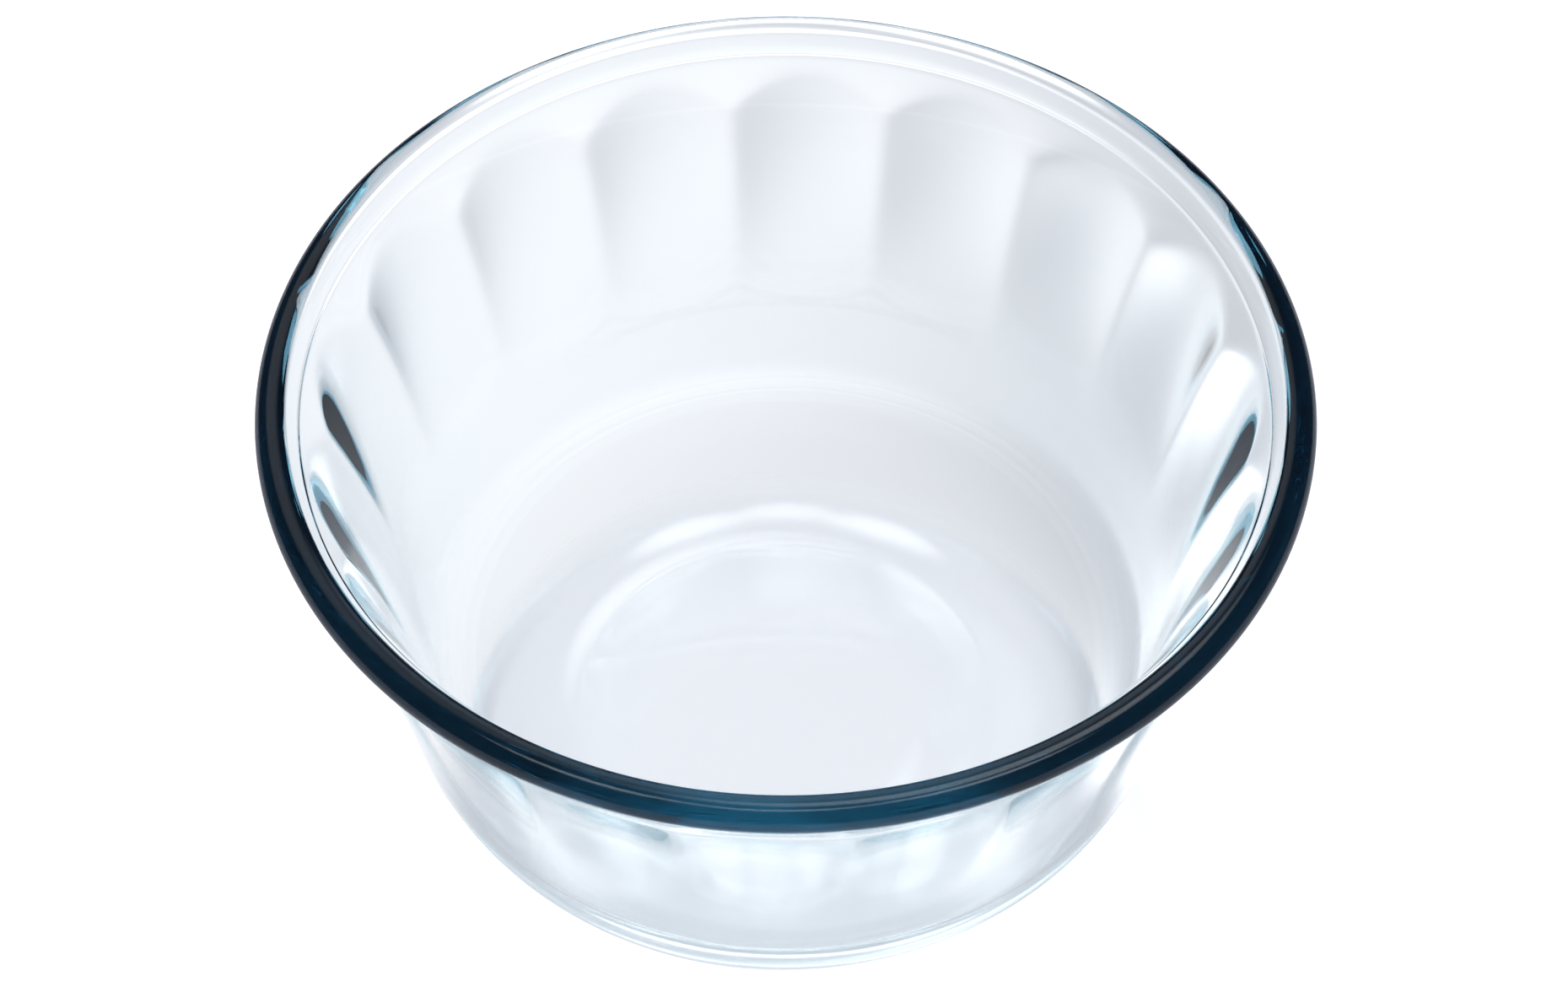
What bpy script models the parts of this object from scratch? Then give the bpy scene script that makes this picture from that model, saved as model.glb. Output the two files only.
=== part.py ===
# Dessert bowl: one piece of pressed clear glass, standing on its base with its axis on +Z.
# The outside of its leaning wall has a ring of shallow flutes with arched tops, which run into a plain flared
# collar below the rounded rim. The inside is smooth. Metres, origin at the centre of the base.
import math

import bpy

# Overall
RIM_DIAMETER = 0.110
HEIGHT = 0.057

# Rim and collar
RIM_TOP_RADIUS = 0.0036                     # the low dome on top of the rim, seen in section
RIM_FALL_IN = math.radians(10.0)            # slope at which the dome ends towards the inside
RIM_FALL_OUT = math.radians(12.0)           # and towards the outside
RIM_CORNER_RADIUS = 0.0010                  # inner edge of the rim
RIM_ROLL_RADIUS = 0.00175                   # outer edge of the rim, rolled under to the collar
COLLAR_LEAN = math.radians(33.0)            # outside of the collar, from the vertical
INNER_RIM_LEAN = math.radians(33.0)         # inside of the collar where it leaves the rim
ARCH_TOP_BELOW_RIM = 0.0068                 # from the top of the rim down to the crowns of the flutes

# Wall and flutes
FLUTE_COUNT = 18
FLUTE_DEPTH = 0.0008                        # crown of a flute above the groove beside it
FLUTE_FOOT_HEIGHT = 0.022                   # where the flutes begin to swell out of the wall
FLUTE_FADE_LENGTH = 0.024                   # height over which they reach their full depth
GROOVE_SOFTNESS = 0.08                      # rounding of the groove, as a share of half a flute
WALL_LEAN = math.radians(12.5)              # outside of the wall at the shoulder, from the vertical
WALL_BEND_POWER = 3.0                       # how the wall's lean grows towards the collar
WALL_THICKNESS = 0.0038                     # at the shoulder
INNER_WALL_PULL = 1.2                       # how far the inside keeps to its lean at the shoulder
INNER_RIM_PULL = 0.9                        # and at the rim

# Shoulder and base
BASE_RADIUS = 0.0226                        # flat of the base, out to where the shoulder starts
SHOULDER_RADIUS = 0.0195
BASE_THICKNESS = 0.0035                     # at the ring that the bowl stands on
RECESS_DEPTH = 0.0005
STANDING_RING_WIDTH = 0.0016
RECESS_SLOPE_WIDTH = 0.0070

# Facets
COLUMNS_PER_FLUTE = 6
SHOULDER_ROWS = 8
RIM_CORNER_ROWS = 3
RIM_TOP_ROWS = 2
RIM_ROLL_ROWS = 4
INNER_WALL_ROWS = 8
FLUTE_ROWS = 9
COLLAR_ROWS = 2
RECESS_ROWS = 5
FLOOR_ROWS = 3
ARCH_SEARCH_STEPS = 60
MERGE_DISTANCE = 0.00001

# Worked out from the sizes above: the centres of the rim's three arcs in section, where each next arc lies inside
# the dome and touches it at the dome's end, and both ends of the outer wall
roll_r = RIM_DIAMETER / 2 - RIM_ROLL_RADIUS
roll_inset = RIM_TOP_RADIUS - RIM_ROLL_RADIUS
dome_r = roll_r - roll_inset * math.sin(RIM_FALL_OUT)
dome_z = HEIGHT - RIM_TOP_RADIUS
roll_z = dome_z + roll_inset * math.cos(RIM_FALL_OUT)
corner_inset = RIM_TOP_RADIUS - RIM_CORNER_RADIUS
corner_r = dome_r - corner_inset * math.sin(RIM_FALL_IN)
corner_z = dome_z + corner_inset * math.cos(RIM_FALL_IN)
collar_r = roll_r + RIM_ROLL_RADIUS * math.cos(COLLAR_LEAN)
collar_z = roll_z - RIM_ROLL_RADIUS * math.sin(COLLAR_LEAN)
shoulder_r = BASE_RADIUS + SHOULDER_RADIUS * math.cos(WALL_LEAN)
shoulder_z = SHOULDER_RADIUS - SHOULDER_RADIUS * math.sin(WALL_LEAN)
arch_top_z = HEIGHT - ARCH_TOP_BELOW_RIM


def clear_scene():
    for old in list(bpy.data.objects):
        bpy.data.objects.remove(old, do_unlink=True)


def spread(count):
    """Shares from 0 to 1 in equal steps, without the 0."""
    return [step / count for step in range(1, count + 1)]


def ease(share):
    share = min(max(share, 0.0), 1.0)
    return share * share * (3.0 - 2.0 * share)


def arc(centre, radii, start, end, count):
    """Points on an ellipse in section from angle start to angle end, without the first one."""
    points = []
    for share in spread(count):
        angle = start + (end - start) * share
        points.append((centre[0] + radii[0] * math.cos(angle), centre[1] + radii[1] * math.sin(angle)))
    return points


def collar_radius(height):
    """The collar is a straight cone that touches the rim and is carried on downwards."""
    return collar_r - (collar_z - height) * math.tan(COLLAR_LEAN)


def groove_radius(height):
    """The wall in a groove: a cone from the shoulder, bent out so that the crowns meet the collar."""
    rise = height - shoulder_z
    reach = arch_top_z - shoulder_z
    straight = shoulder_r + rise * math.tan(WALL_LEAN)
    gap_at_arch = collar_radius(arch_top_z) - FLUTE_DEPTH - shoulder_r - reach * math.tan(WALL_LEAN)
    return straight + gap_at_arch * max(rise / reach, 0.0) ** WALL_BEND_POWER


def flute_radius(across, height):
    """A flute at a share across it, from -1 in one groove over 0 on the crown to 1 in the next groove."""
    from_groove = math.hypot(1.0 - abs(across), GROOVE_SOFTNESS) - GROOVE_SOFTNESS
    to_crown = math.hypot(1.0, GROOVE_SOFTNESS) - GROOVE_SOFTNESS
    swell = FLUTE_DEPTH * ease((height - FLUTE_FOOT_HEIGHT) / FLUTE_FADE_LENGTH)
    return groove_radius(height) + swell * (1.0 - (1.0 - from_groove / to_crown) ** 2)


def arch_height(across):
    """Where the flute runs into the collar: climb the collar to the flute's radius until the two agree."""
    height = arch_top_z
    for _ in range(ARCH_SEARCH_STEPS):
        height = collar_z - (collar_r - flute_radius(across, height)) / math.tan(COLLAR_LEAN)
    return height


def across_flute(angle):
    return (angle * FLUTE_COUNT / math.pi + 1.0) % 2.0 - 1.0


def inner_wall():
    """A smooth curve from the rim down to the inner shoulder, leaving both in their own directions."""
    top = (
        corner_r - RIM_CORNER_RADIUS * math.cos(INNER_RIM_LEAN),
        corner_z + RIM_CORNER_RADIUS * math.sin(INNER_RIM_LEAN),
    )
    across = SHOULDER_RADIUS - WALL_THICKNESS
    upright = SHOULDER_RADIUS - BASE_THICKNESS
    end = (
        BASE_RADIUS + across * math.cos(WALL_LEAN),
        SHOULDER_RADIUS - upright * math.sin(WALL_LEAN),
    )
    length = math.dist(top, end)
    rim_pull = INNER_RIM_PULL * length
    top_pull = (-math.sin(INNER_RIM_LEAN) * rim_pull, -math.cos(INNER_RIM_LEAN) * rim_pull)
    slant = math.hypot(across * math.sin(WALL_LEAN), upright * math.cos(WALL_LEAN))
    wall_pull = INNER_WALL_PULL * length / slant
    end_pull = (-across * math.sin(WALL_LEAN) * wall_pull, -upright * math.cos(WALL_LEAN) * wall_pull)
    points = []
    for t in [0.0] + spread(INNER_WALL_ROWS):
        weights = (2 * t**3 - 3 * t**2 + 1, t**3 - 2 * t**2 + t, 3 * t**2 - 2 * t**3, t**3 - t**2)
        points.append(
            tuple(
                weights[0] * top[axis] + weights[1] * top_pull[axis]
                + weights[2] * end[axis] + weights[3] * end_pull[axis]
                for axis in (0, 1)
            )
        )
    return points


def inside_points():
    """The inside in section, from the middle of the floor out and up to the rim."""
    floor = [(BASE_RADIUS * share, BASE_THICKNESS) for share in [0.0] + spread(FLOOR_ROWS)]
    radii = (SHOULDER_RADIUS - WALL_THICKNESS, SHOULDER_RADIUS - BASE_THICKNESS)
    shoulder = arc((BASE_RADIUS, SHOULDER_RADIUS), radii, -math.pi / 2, -WALL_LEAN, SHOULDER_ROWS)
    wall = inner_wall()[::-1]
    return floor + shoulder + wall[1:]


def rim_points():
    """Over the rim, from the inside of the collar to its outside, with a point at its top and its outermost."""
    corner = ((corner_r, corner_z), RIM_CORNER_RADIUS)
    dome = ((dome_r, dome_z), RIM_TOP_RADIUS)
    roll = ((roll_r, roll_z), RIM_ROLL_RADIUS)
    upright = math.pi / 2
    arcs = (
        (corner, math.pi - INNER_RIM_LEAN, upright + RIM_FALL_IN, RIM_CORNER_ROWS),
        (dome, upright + RIM_FALL_IN, upright, RIM_TOP_ROWS),
        (dome, upright, upright - RIM_FALL_OUT, RIM_TOP_ROWS),
        (roll, upright - RIM_FALL_OUT, 0.0, RIM_ROLL_ROWS),
        (roll, 0.0, -COLLAR_LEAN, RIM_TOP_ROWS),
    )
    points = []
    for (centre, radius), start, end, rows in arcs:
        points += arc(centre, (radius, radius), start, end, rows)
    return points


def fluted_points():
    """The collar and a flute's crown in section, from the rim down, without either end."""
    collar = [collar_z + (arch_top_z - collar_z) * share for share in spread(COLLAR_ROWS)]
    crown = [arch_top_z + (shoulder_z - arch_top_z) * share for share in spread(FLUTE_ROWS)]
    heights = collar + crown[:-1]
    return [(max(flute_radius(0.0, height), collar_radius(height)), height) for height in heights]


def underside_points():
    """Round the shoulder to the standing ring and over its inner slope into the recess."""
    centre = (BASE_RADIUS, SHOULDER_RADIUS)
    radii = (SHOULDER_RADIUS, SHOULDER_RADIUS)
    points = [(shoulder_r, shoulder_z)]
    points += arc(centre, radii, -WALL_LEAN, -math.pi / 2, SHOULDER_ROWS)
    ring_r = BASE_RADIUS - STANDING_RING_WIDTH
    for share in [0.0] + spread(RECESS_ROWS):
        points.append((ring_r - RECESS_SLOPE_WIDTH * share, RECESS_DEPTH * ease(share)))
    points.append((0.0, RECESS_DEPTH))
    return points


def make_profile(helpers):
    """Half of the section as a line of edges, with the stretch that gets the flutes in a vertex group."""
    before = inside_points() + rim_points()
    fluted = fluted_points()
    points = before + fluted + underside_points()
    mesh = bpy.data.meshes.new("bowl_profile")
    edges = [(index, index + 1) for index in range(len(points) - 1)]
    mesh.from_pydata([(radius, 0.0, height) for radius, height in points], edges, [])
    profile = bpy.data.objects.new("bowl_profile", mesh)
    helpers.objects.link(profile)
    group = profile.vertex_groups.new(name="fluted")
    group.add(list(range(len(before), len(before) + len(fluted))), 1.0, "REPLACE")
    turn = profile.modifiers.new("turn", "SCREW")
    turn.axis = "Z"
    turn.steps = FLUTE_COUNT * COLUMNS_PER_FLUTE
    turn.render_steps = turn.steps
    turn.use_merge_vertices = True
    turn.merge_threshold = MERGE_DISTANCE
    profile.hide_render = True
    profile.display_type = "WIRE"
    return profile


def press_flutes(mesh):
    """Moves each turned point of the outer wall to its place on its own flute, the row at the crown's top to
    the arch, and the rows above and below it in step."""
    for vertex in mesh.vertices:
        if not vertex.groups:
            continue
        x, y, height = vertex.co
        angle = math.atan2(y, x)
        across = across_flute(angle)
        arch = arch_height(across)
        if height < arch_top_z:
            share = (height - shoulder_z) / (arch_top_z - shoulder_z)
            height = shoulder_z + share * (arch - shoulder_z)
        else:
            share = (collar_z - height) / (collar_z - arch_top_z)
            height = collar_z - share * (collar_z - arch)
        radius = max(flute_radius(across, height), collar_radius(height))
        vertex.co = (radius * math.cos(angle), radius * math.sin(angle), height)


def pressed_glass():
    material = bpy.data.materials.new("clear_pressed_glass")
    material.use_nodes = True
    shader = material.node_tree.nodes["Principled BSDF"]
    shader.inputs["Base Color"].default_value = (0.90, 0.96, 0.97, 1.0)
    shader.inputs["Metallic"].default_value = 0.0
    shader.inputs["Roughness"].default_value = 0.02
    shader.inputs["IOR"].default_value = 1.47
    shader.inputs["Transmission Weight"].default_value = 1.0
    return material


def make_bowl(parts, helpers):
    profile = make_profile(helpers)
    bpy.context.view_layer.update()
    turned = profile.evaluated_get(bpy.context.evaluated_depsgraph_get())
    mesh = bpy.data.meshes.new_from_object(turned)
    mesh.name = "bowl"
    press_flutes(mesh)
    mesh.materials.append(pressed_glass())
    mesh.shade_smooth()
    bowl = bpy.data.objects.new("bowl", mesh)
    parts.objects.link(bowl)
    return bowl


def main():
    clear_scene()
    parts = bpy.data.collections.new("dessert_bowl")
    helpers = bpy.data.collections.new("profiles")
    for collection in (parts, helpers):
        bpy.context.scene.collection.children.link(collection)
    make_bowl(parts, helpers)


main()
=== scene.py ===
import math

import bpy
import numpy as np
from mathutils import Matrix, Vector


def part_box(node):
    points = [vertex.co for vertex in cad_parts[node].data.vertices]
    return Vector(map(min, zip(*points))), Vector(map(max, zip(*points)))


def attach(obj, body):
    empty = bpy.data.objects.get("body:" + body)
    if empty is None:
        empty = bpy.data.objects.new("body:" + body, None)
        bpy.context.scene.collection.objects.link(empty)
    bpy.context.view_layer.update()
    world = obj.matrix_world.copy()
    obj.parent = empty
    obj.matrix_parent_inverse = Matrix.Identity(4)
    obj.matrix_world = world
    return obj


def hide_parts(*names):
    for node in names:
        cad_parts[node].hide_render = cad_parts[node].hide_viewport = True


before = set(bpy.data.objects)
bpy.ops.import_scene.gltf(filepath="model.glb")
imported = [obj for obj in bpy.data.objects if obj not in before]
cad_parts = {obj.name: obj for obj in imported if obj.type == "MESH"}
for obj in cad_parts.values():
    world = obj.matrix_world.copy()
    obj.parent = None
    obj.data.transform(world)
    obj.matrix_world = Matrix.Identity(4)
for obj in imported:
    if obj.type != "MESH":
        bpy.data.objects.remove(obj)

scene = bpy.context.scene
mmPerMetre = 1000.0
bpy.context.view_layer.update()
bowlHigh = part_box("bowl")[1]


def linearColour(hexText):  # sRGB hex to linear red, green, blue
    channels = np.array([int(hexText[i:i + 2], 16) for i in (1, 3, 5)]) / 255.0
    return tuple(np.where(channels <= 0.04045, channels / 12.92, ((channels + 0.055) / 1.055) ** 2.4))


def addNode(tree, kind, sockets=None, **settings):  # a socket is given a value, or an output to link to
    node = tree.nodes.new(kind)
    for name, value in settings.items():
        setattr(node, name, value)
    for name, value in (sockets or {}).items():
        if isinstance(value, bpy.types.NodeSocket):
            tree.links.new(value, node.inputs[name])
        else:
            node.inputs[name].default_value = value
    return node


# The bowl, in millimetres and degrees. The rim's width and the height come from the frame.
bowlShape = {
    "rimRadius": bowlHigh.x * mmPerMetre,
    "height": bowlHigh.z * mmPerMetre,
    "lipTopRadius": 3.6,      # the low dome on top of the rim, in section
    "lipFallIn": 10.0,        # slope at which the dome ends towards the inside
    "lipFallOut": 12.0,       # and towards the outside
    "lipCornerRadius": 1.0,   # inner edge of the rim
    "lipOuterRadius": 1.75,   # outer edge, rolled under to the collar
    "collarLean": 33.0,       # outside of the plain collar, from the vertical
    "collarFade": 1.5,        # height below the rim's roll over which the arches' rounding sets in
    "innerRimLean": 33.0,     # inside of the collar where it leaves the rim
    "archTopBelowRim": 6.8,   # crowns of the flutes
    "archSoftness": 0.3,      # how softly a flute runs into the collar
    "archClimb": 60,          # steps in which the height of the arches is found
    "fluteCount": 18,
    "fluteDepth": 0.8,
    "fluteFoot": 22.0,        # height at which the flutes begin to swell out of the wall
    "fluteFade": 24.0,        # height over which they reach their full depth
    "grooveSoftness": 0.08,   # share of half a flute
    "wallLean": 12.5,
    "wallBend": 3.0,          # how the wall's lean grows towards the collar
    "wallFade": 6.0,          # height above the shoulder over which the arches' rounding sets in
    "innerWallPull": 1.2,     # how far the inside keeps to its lean at the shoulder
    "innerRimPull": 0.9,      # and at the rim
    "creaseBelowRim": 2.2,    # fine crease on the inside, where the mould parted
    "creaseHalfWidth": 0.3,
    "creaseDepth": 0.1,
    "wallThickness": 3.8,
    "baseRadius": 22.6,       # out to where the shoulder begins
    "shoulderRadius": 19.5,
    "baseThickness": 3.5,
    "recessDepth": 0.5,       # the hollow under the base
    "standingRing": 1.6,      # width of the ring round it
    "recessSlope": 7.0,       # width over which the hollow reaches its depth
}

# How finely the bowl is divided: columns round the axis, and rows along each stretch of the section
bowlRows = {
    "columnsPerFlute": 20,
    "poleShare": 0.02,        # radius of the first row by the axis, as a share of the flat
    "floor": 8,
    "innerShoulder": 26,
    "innerWall": 42,
    "crease": 11,
    "lipCorner": 12,
    "lipTop": 14,
    "lipOuter": 26,
    "collar": 17,
    "collarGather": 0.7,      # below 1 the rows gather at the lower end of a stretch, above 1 at the upper
    "flute": 59,
    "fluteGather": 1.5,
    "outerShoulder": 30,
    "recess": 12,
    "under": 7,
}


def ease(share):  # smooth step from 0 to 1
    share = np.clip(share, 0.0, 1.0)
    return share * share * (3.0 - 2.0 * share)


def softMax(a, b, softness):  # the larger of two, with their crossing rounded
    return 0.5 * (a + b + np.sqrt((a - b) ** 2 + softness ** 2))


def alongLean(angle):  # unit step up a wall that leans out by this angle, as radius and height
    return np.array([math.sin(angle), math.cos(angle)])


def outOfLean(angle):  # unit step square to that wall, outwards
    return np.array([math.cos(angle), -math.sin(angle)])


def arcRows(centre, radii, start, end, count):  # part of an ellipse, from one angle to another
    angle = np.radians(np.linspace(start, end, count))
    return np.c_[centre[0] + radii[0] * np.cos(angle), centre[1] + radii[1] * np.sin(angle)]


def sectionRows(shape, rows):
    # Radius and height as arrays of row by column. The rows follow the section from the middle of the floor
    # out, up the inside, over the rim, down the outside and in along the base; the columns go round the axis.
    collarLean, rimLean = math.radians(shape["collarLean"]), math.radians(shape["innerRimLean"])
    wallLean = math.radians(shape["wallLean"])
    fallIn, fallOut = math.radians(shape["lipFallIn"]), math.radians(shape["lipFallOut"])
    rim, height = shape["rimRadius"], shape["height"]
    domeR, edgeR, rollR = shape["lipTopRadius"], shape["lipCornerRadius"], shape["lipOuterRadius"]
    # centres of the rim's three arcs: the other two lie inside the dome and touch it where the dome ends
    dome = np.array([rim - rollR - (domeR - rollR) * math.sin(fallOut), height - domeR])
    roll = dome + (domeR - rollR) * alongLean(fallOut)
    edge = dome + (domeR - edgeR) * alongLean(-fallIn)
    collarR, collarZ = roll + rollR * outOfLean(collarLean)
    corner, base = shape["shoulderRadius"], shape["baseRadius"]
    shoulderR = base + corner * math.cos(wallLean)
    shoulderZ = corner - corner * math.sin(wallLean)
    archTop = height - shape["archTopBelowRim"]
    flare, lean = math.tan(collarLean), math.tan(wallLean)
    columns = shape["fluteCount"] * rows["columnsPerFlute"]
    theta = np.arange(columns) * 2.0 * np.pi / columns
    # across a flute: -1 and 1 in the grooves, 0 on the crown
    across = (theta * shape["fluteCount"] / np.pi + 1.0) % 2.0 - 1.0
    soft = shape["grooveSoftness"]
    fromGroove = (np.hypot(1.0 - np.abs(across), soft) - soft) / (math.hypot(1.0, soft) - soft)
    crown = 1.0 - (1.0 - fromGroove) ** 2

    def collarAt(h):  # a cone down from the rim's roll
        return collarR - (collarZ - h) * flare

    def fluteAt(h):  # a cone from the shoulder, bent out to the collar, plus the flute's crown
        rise, reach = h - shoulderZ, archTop - shoulderZ
        gap = collarAt(archTop) - shape["fluteDepth"] - shoulderR - reach * lean
        wall = shoulderR + rise * lean + gap * np.maximum(rise / reach, 0.0) ** shape["wallBend"]
        return wall + crown * shape["fluteDepth"] * ease((h - shape["fluteFoot"]) / shape["fluteFade"])

    arch = np.full(columns, archTop)
    for climb in range(shape["archClimb"]):  # climb the collar to the flute's radius until the two agree
        arch = collarZ - (collarR - fluteAt(arch)) / flare

    # the floor, the shoulder's inside and a cubic from there up to the rim, with the crease pressed into it
    inner = np.array([corner - shape["wallThickness"], corner - shape["baseThickness"]])
    floorR = base * np.linspace(rows["poleShare"], 1.0, rows["floor"])[:-1]
    floor = np.c_[floorR, np.full_like(floorR, shape["baseThickness"])]
    innerShoulder = arcRows((base, corner), inner, -90.0, -shape["wallLean"], rows["innerShoulder"])
    foot, top = innerShoulder[-1], edge - edgeR * outOfLean(rimLean)
    length = np.linalg.norm(top - foot)
    footPull = inner * alongLean(wallLean)
    footPull *= shape["innerWallPull"] * length / np.linalg.norm(footPull)
    topPull = shape["innerRimPull"] * length * alongLean(rimLean)
    # near the rim the wall is about straight, so the crease lies this far down the curve
    creaseAt = 1.0 - (top[1] - height + shape["creaseBelowRim"]) / topPull[1]
    creaseReach = shape["creaseHalfWidth"] / np.linalg.norm(topPull)
    t = np.linspace(0.0, 1.0, rows["innerWall"])[1:-1]
    creaseT = creaseAt + creaseReach * np.linspace(-1.0, 1.0, rows["crease"])
    t = np.sort(np.r_[t[np.abs(t - creaseAt) > creaseReach], creaseT])[:, None]
    innerWall = ((2 * t**3 - 3 * t**2 + 1) * foot + (t**3 - 2 * t**2 + t) * footPull
                 + (3 * t**2 - 2 * t**3) * top + (t**3 - t**2) * topPull)
    crease = shape["creaseDepth"] * ease(1.0 - np.abs(t - creaseAt) / creaseReach)
    innerWall = innerWall + crease * outOfLean(rimLean)

    # over the rim, from its inner edge across the dome and round the roll
    domeIn, domeOut = 90.0 + shape["lipFallIn"], 90.0 - shape["lipFallOut"]
    lip = np.vstack([
        arcRows(edge, (edgeR, edgeR), 180.0 - shape["innerRimLean"], domeIn, rows["lipCorner"])[:-1],
        arcRows(dome, (domeR, domeR), domeIn, domeOut, rows["lipTop"])[:-1],
        arcRows(roll, (rollR, rollR), domeOut, -shape["collarLean"], rows["lipOuter"])])

    # the outside is the collar or the flute, whichever is further out, and a row follows the arches between
    share = np.linspace(0.0, 1.0, rows["collar"])[1:, None] ** rows["collarGather"]
    collarH = collarZ + share * (arch - collarZ)
    share = np.linspace(0.0, 1.0, rows["flute"])[1:-1, None] ** rows["fluteGather"]
    fluteH = arch + share * (shoulderZ - arch)
    outerH = np.vstack([collarH, fluteH])
    fade = ease((outerH - shoulderZ) / shape["wallFade"]) * ease((collarZ - outerH) / shape["collarFade"])
    outerR = softMax(collarAt(outerH), fluteAt(outerH), shape["archSoftness"] * fade)

    # the shoulder's outside, the standing ring and the recess under the base
    turn = (-shape["wallLean"], -90.0)
    outerShoulder = arcRows((base, corner), (corner, corner), *turn, rows["outerShoulder"])
    ringR = base - shape["standingRing"]
    slope = np.linspace(0.0, 1.0, rows["recess"])
    recess = np.c_[ringR - shape["recessSlope"] * slope, shape["recessDepth"] * ease(slope)]
    underR = (ringR - shape["recessSlope"]) * np.linspace(1.0, rows["poleShare"], rows["under"])[1:]
    under = np.c_[underR, np.full_like(underR, shape["recessDepth"])]

    def turned(points):  # rows that are the same all the way round
        return [np.broadcast_to(points[:, i, None], (len(points), columns)) for i in (0, 1)]

    parts = [turned(floor), turned(innerShoulder), turned(innerWall), turned(lip), [outerR, outerH],
             turned(outerShoulder), turned(recess), turned(under)]
    return np.vstack([part[0] for part in parts]), np.vstack([part[1] for part in parts]), theta


def makeBowl(shape, rows):
    # the section's rows turned about the axis: quads between neighbouring rows, and a fan at each pole
    radius, height, theta = sectionRows(shape, rows)
    rowCount, columns = radius.shape
    points = np.stack([radius * np.cos(theta), radius * np.sin(theta), height], axis=-1).reshape(-1, 3)
    poles = [[0.0, 0.0, shape["baseThickness"]], [0.0, 0.0, shape["recessDepth"]]]
    points = np.vstack([points, poles]) / mmPerMetre
    row, column = np.arange(rowCount - 1)[:, None] * columns, np.arange(columns)
    following = (column + 1) % columns
    below = row + columns
    quads = np.stack([row + column, below + column, below + following, row + following], axis=-1)
    last = (rowCount - 1) * columns
    floorPole, underPole = rowCount * columns, rowCount * columns + 1
    floorFan = np.c_[np.full(columns, floorPole), column, following]
    underFan = np.c_[np.full(columns, underPole), last + following, last + column]
    faces = quads.reshape(-1, 4).tolist() + np.vstack([floorFan, underFan]).tolist()
    mesh = bpy.data.meshes.new("fluted_bowl")
    mesh.from_pydata(points.tolist(), [], faces)
    mesh.shade_smooth()
    bowl = bpy.data.objects.new("fluted_bowl", mesh)
    scene.collection.objects.link(bowl)
    print("bowl:", rowCount, "rows by", columns, "columns,", len(mesh.polygons), "faces")
    return bowl


# Clear heat-resistant glass, pressed in a mould and fire-polished: it is colourless where it is thin and
# blue-green along the rim, where the light runs a long way inside it, and its skin is very slightly wavy.
glassLook = {
    "ior": 1.47,
    "roughness": 0.0,
    "bodyColour": "#98D4E1",
    "bodyDensity": 34.0,      # per metre
    "waveLength": 14.0,       # mm, the slow ripple that pressing leaves
    "waveHeight": 0.004,      # mm
    "waveDetail": 1.0,
    "waveRoughness": 0.4,
}


def pressedGlass(look):
    material = bpy.data.materials.new("pressed_borosilicate_glass")
    material.use_nodes = True
    tree = material.node_tree
    tree.nodes.clear()
    where = addNode(tree, "ShaderNodeTexCoord")
    ripple = addNode(tree, "ShaderNodeTexNoise", {
        "Vector": where.outputs["Object"], "Scale": mmPerMetre / look["waveLength"],
        "Detail": look["waveDetail"], "Roughness": look["waveRoughness"]})
    bump = addNode(tree, "ShaderNodeBump", {
        "Height": ripple.outputs["Fac"], "Strength": 1.0, "Distance": look["waveHeight"] / mmPerMetre})
    glass = addNode(tree, "ShaderNodeBsdfPrincipled", {
        "Base Color": (1.0, 1.0, 1.0, 1.0), "Roughness": look["roughness"], "IOR": look["ior"],
        "Transmission Weight": 1.0, "Normal": bump.outputs["Normal"]})
    body = addNode(tree, "ShaderNodeVolumeAbsorption", {
        "Color": (*linearColour(look["bodyColour"]), 1.0), "Density": look["bodyDensity"]})
    addNode(tree, "ShaderNodeOutputMaterial", {"Surface": glass.outputs[0], "Volume": body.outputs[0]})
    print("glass:", material.name)
    return material


bowl = makeBowl(bowlShape, bowlRows)
bowl.data.materials.append(pressedGlass(glassLook))
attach(bowl, "root")
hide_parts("bowl")

# White gloss laminate, pale all over, with painted light in its glow: a painted pool round the bowl that
# fades far off and is brighter right under it; and a soft mirror of the studio's lights.
# Lengths are in metres, and distances are from the bowl's axis.
tableLook = {
    "halfWidth": 3.0,
    "gap": 0.0002,            # below the bowl's standing ring
    "colour": "#E8E8E8",
    "glowColour": "#F9F8FF",
    "glow": 0.61,             # painted pool of light round the bowl, as the glass shows it
    "farGlow": 0.25,
    "evenTo": 0.30,           # the painted glow is even up to here
    "fadedAt": 0.90,          # and has faded to the far glow here
    "seenGlow": 0.36,         # more of it for the camera, up to white
    "paintedPoolGlow": 0.21,         # painted pool of extra glow under the bowl, where the table is also matt
    # the painted pool under the bowl and the matt finish end between these two distances
    "mattAndPaintedPoolTo": 0.030,
    "polishedFrom": 0.038,
    "gloss": 0.82,
    "glossRoughness": 0.14,
}


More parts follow.
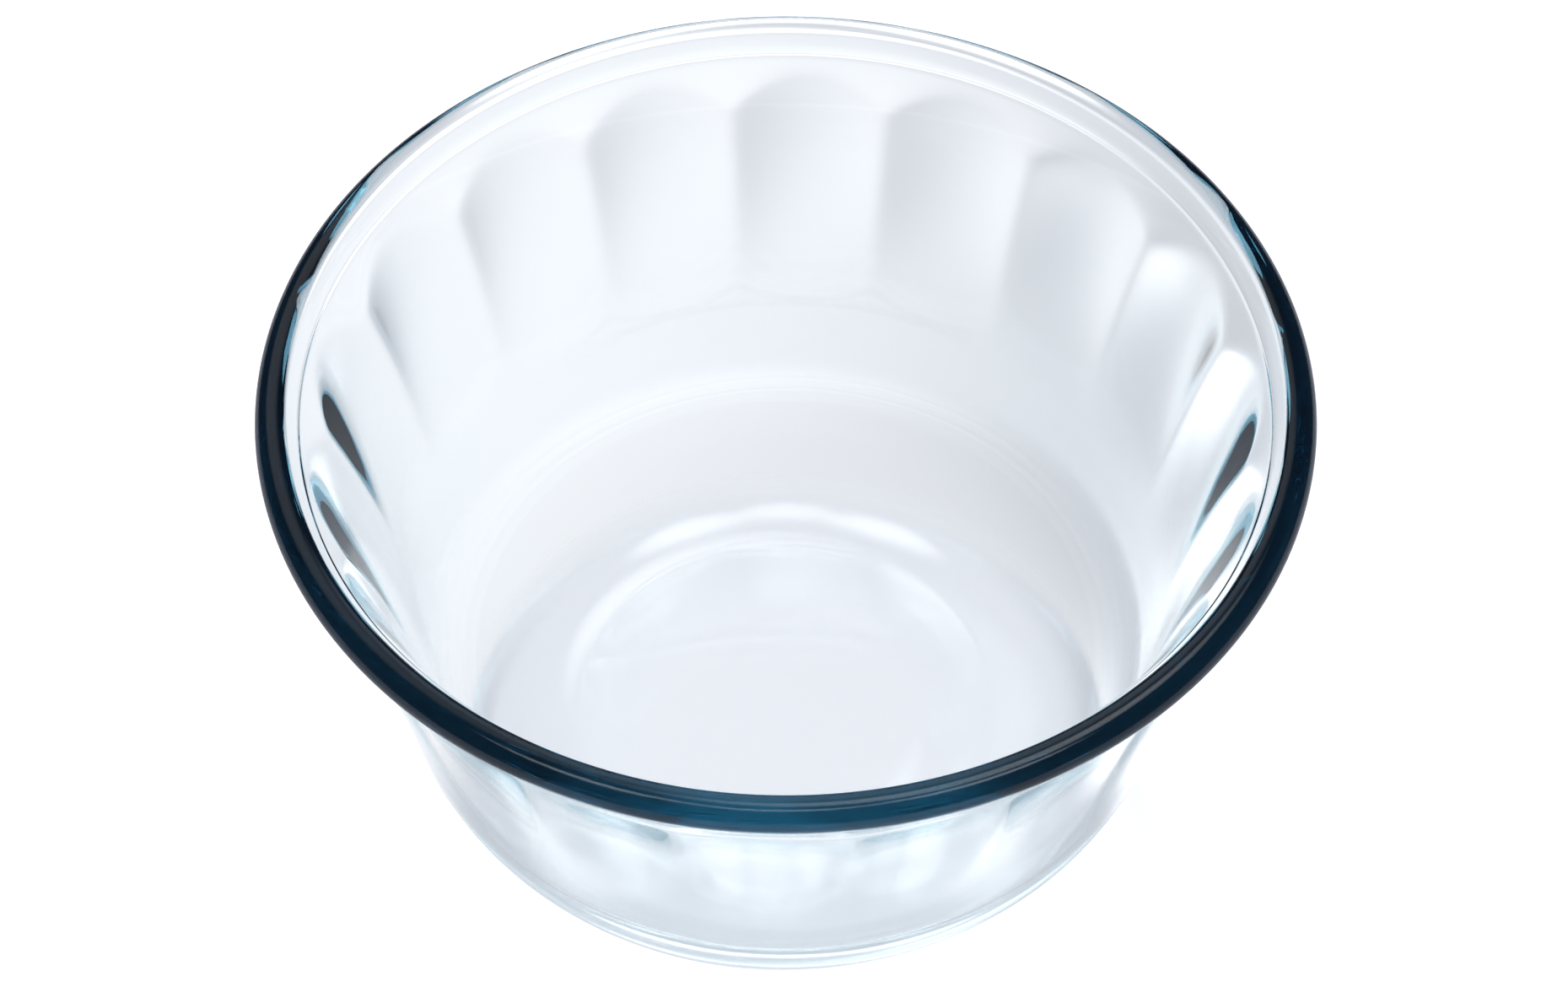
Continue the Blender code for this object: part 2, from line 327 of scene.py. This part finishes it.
def laminateWithPaintedGlow(look):
    material = bpy.data.materials.new("white_gloss_laminate_painted_glow")
    material.use_nodes = True
    tree = material.node_tree
    tree.nodes.clear()
    where = addNode(tree, "ShaderNodeTexCoord")
    away = addNode(tree, "ShaderNodeVectorMath", {0: where.outputs["Object"]}, operation="LENGTH")
    # painted pool of light: the glow is even round the bowl and fades to the far glow away from it
    fade = addNode(tree, "ShaderNodeMapRange", {
        "Value": away.outputs["Value"], "From Min": look["evenTo"], "From Max": look["fadedAt"],
        "To Min": look["glow"], "To Max": look["farGlow"]}, interpolation_type="SMOOTHSTEP")
    # right under the bowl the table is matt, so that no reflection spots the bowl's floor, and it has a
    # painted pool of extra glow there
    beyond = addNode(tree, "ShaderNodeMapRange", {
        "Value": away.outputs["Value"], "From Min": look["mattAndPaintedPoolTo"], "From Max": look["polishedFrom"]},
        interpolation_type="SMOOTHSTEP")
    polish = addNode(tree, "ShaderNodeMath", {
        0: beyond.outputs["Result"], 1: look["gloss"]}, operation="MULTIPLY")
    paintedPoolExtra = addNode(tree, "ShaderNodeMath", {
        0: beyond.outputs["Result"], 1: -look["paintedPoolGlow"], 2: look["paintedPoolGlow"]}, operation="MULTIPLY_ADD")
    level = addNode(tree, "ShaderNodeMath", {0: fade.outputs["Result"], 1: paintedPoolExtra.outputs[0]}, operation="ADD")
    # the camera and the glass see the glow, and what the camera sees of the table itself gets a little more
    path = addNode(tree, "ShaderNodeLightPath")
    inGlass = addNode(tree, "ShaderNodeMath", {
        0: path.outputs["Is Glossy Ray"], 1: path.outputs["Is Transmission Ray"]}, operation="MAXIMUM")
    shown = addNode(tree, "ShaderNodeMath", {
        0: path.outputs["Is Camera Ray"], 1: inGlass.outputs[0]}, operation="MAXIMUM")
    shownGlow = addNode(tree, "ShaderNodeMath", {0: shown.outputs[0], 1: level.outputs[0]}, operation="MULTIPLY")
    seen = addNode(tree, "ShaderNodeMath", {
        0: path.outputs["Is Camera Ray"], 1: look["seenGlow"], 2: shownGlow.outputs[0]}, operation="MULTIPLY_ADD")
    glow = addNode(tree, "ShaderNodeEmission", {
        "Color": (*linearColour(look["glowColour"]), 1.0), "Strength": seen.outputs[0]})
    paint = addNode(tree, "ShaderNodeBsdfDiffuse", {"Color": (*linearColour(look["colour"]), 1.0)})
    sheen = addNode(tree, "ShaderNodeBsdfGlossy", {"Roughness": look["glossRoughness"]})
    face = addNode(tree, "ShaderNodeMixShader", {
        0: polish.outputs[0], 1: paint.outputs[0], 2: sheen.outputs[0]})
    lit = addNode(tree, "ShaderNodeAddShader", {0: glow.outputs[0], 1: face.outputs[0]})
    addNode(tree, "ShaderNodeOutputMaterial", {"Surface": lit.outputs[0]})
    return material


def makeTable(look):
    side, level = look["halfWidth"], -look["gap"]
    corners = [(-side, -side, level), (side, -side, level), (side, side, level), (-side, side, level)]
    mesh = bpy.data.meshes.new("white_table")
    mesh.from_pydata(corners, [], [(0, 1, 2, 3)])
    mesh.materials.append(laminateWithPaintedGlow(look))
    table = bpy.data.objects.new("white_table", mesh)
    scene.collection.objects.link(table)
    print("table:", 2.0 * side, "m wide")


makeTable(tableLook)

# The studio: a dim room with soft lights, each a round patch of sky that fades out between two angles.
# Azimuths are measured from the camera's right, as the bowl is seen in the picture, anticlockwise.
studioLook = {
    "roomColour": "#44484F",
    "lightColour": "#FFFFFF",
    "lights": [
        {"azimuth": 108.0, "elevation": 45.0, "inner": 6.0, "outer": 19.0, "strength": 0.67},
        {"azimuth": 92.0, "elevation": 33.0, "inner": 12.0, "outer": 15.0, "strength": 0.80},
        {"azimuth": 78.0, "elevation": 62.0, "inner": 3.0, "outer": 11.0, "strength": 2.4},
        {"azimuth": 90.0, "elevation": 89.0, "inner": 1.0, "outer": 9.0, "strength": 2.4},
        {"azimuth": 151.0, "elevation": 76.0, "inner": 1.0, "outer": 10.0, "strength": 3.0},
        {"azimuth": 28.0, "elevation": 76.0, "inner": 1.0, "outer": 10.0, "strength": 3.0},
    ],
}
viewTurn = -7.2               # degrees, turns the camera and the studio about the bowl's axis


def makeStudio(look):
    world = bpy.data.worlds.new("soft_studio")
    scene.world = world
    world.use_nodes = True
    tree = world.node_tree
    tree.nodes.clear()
    where = addNode(tree, "ShaderNodeTexCoord")
    room = addNode(tree, "ShaderNodeRGB")
    room.outputs[0].default_value = (*linearColour(look["roomColour"]), 1.0)
    sky = room.outputs[0]
    for light in look["lights"]:
        azimuth, elevation = math.radians(light["azimuth"] + viewTurn), math.radians(light["elevation"])
        level = math.cos(elevation)
        towards = (math.cos(azimuth) * level, math.sin(azimuth) * level, math.sin(elevation))
        facing = addNode(tree, "ShaderNodeVectorMath", {
            0: where.outputs["Generated"], 1: towards}, operation="DOT_PRODUCT")
        mask = addNode(tree, "ShaderNodeMapRange", {
            "Value": facing.outputs["Value"], "From Min": math.cos(math.radians(light["outer"])),
            "From Max": math.cos(math.radians(light["inner"]))}, interpolation_type="SMOOTHSTEP")
        bright = (*(c * light["strength"] for c in linearColour(look["lightColour"])), 1.0)
        mixed = addNode(tree, "ShaderNodeMix", {
            "Factor": mask.outputs["Result"], 6: sky, 7: bright}, data_type="RGBA", clamp_factor=True)
        sky = mixed.outputs[2]
    background = addNode(tree, "ShaderNodeBackground", {"Color": sky, "Strength": 1.0})
    addNode(tree, "ShaderNodeOutputWorld", {"Surface": background.outputs[0]})
    print("studio:", len(look["lights"]), "soft lights")


makeStudio(studioLook)

# Light that runs along inside the rim takes many turns before it leaves the glass
bounces = 64
scene.cycles.max_bounces = bounces
scene.cycles.transmission_bounces = bounces
scene.cycles.glossy_bounces = bounces

# Camera, fitted to the rim's ellipse and the lower outline in the 1859 by 1170 picture
cameraLook = {
    "elevation": 49.59,       # degrees
    "distance": 0.66,         # m, from the centre of the rim
    "lens": 146.1,            # mm
    "sensorWidth": 36.0,      # mm
    "clipStart": 0.01,        # m
    "pitch": 0.786,           # degrees, down from the centre of the rim
    "yaw": 0.024,
    "belowRim": 2.1,          # mm, from the rim's top down to the point that the camera is set on
}


def makeCamera(look):
    data = bpy.data.cameras.new("photo_camera")
    data.sensor_width = look["sensorWidth"]
    data.lens = look["lens"]
    data.clip_start = look["clipStart"]
    camera = bpy.data.objects.new("photo_camera", data)
    scene.collection.objects.link(camera)
    up = math.radians(look["elevation"])
    place = look["distance"] * Vector((0.0, -math.cos(up), math.sin(up)))
    rimCentre = Vector((0.0, 0.0, (bowlShape["height"] - look["belowRim"]) / mmPerMetre))
    aim = Matrix.Rotation(math.pi / 2 - up - math.radians(look["pitch"]), 4, "X")
    swing = Matrix.Rotation(math.radians(look["yaw"]), 4, "Z")
    turn = Matrix.Rotation(math.radians(viewTurn), 4, "Z")
    camera.matrix_world = turn @ Matrix.Translation(place + rimCentre) @ swing @ aim
    scene.camera = camera
    print("camera at", tuple(round(x, 4) for x in camera.matrix_world.translation))


makeCamera(cameraLook)
scene.view_settings.view_transform = "Standard"

bpy.context.view_layer.update()
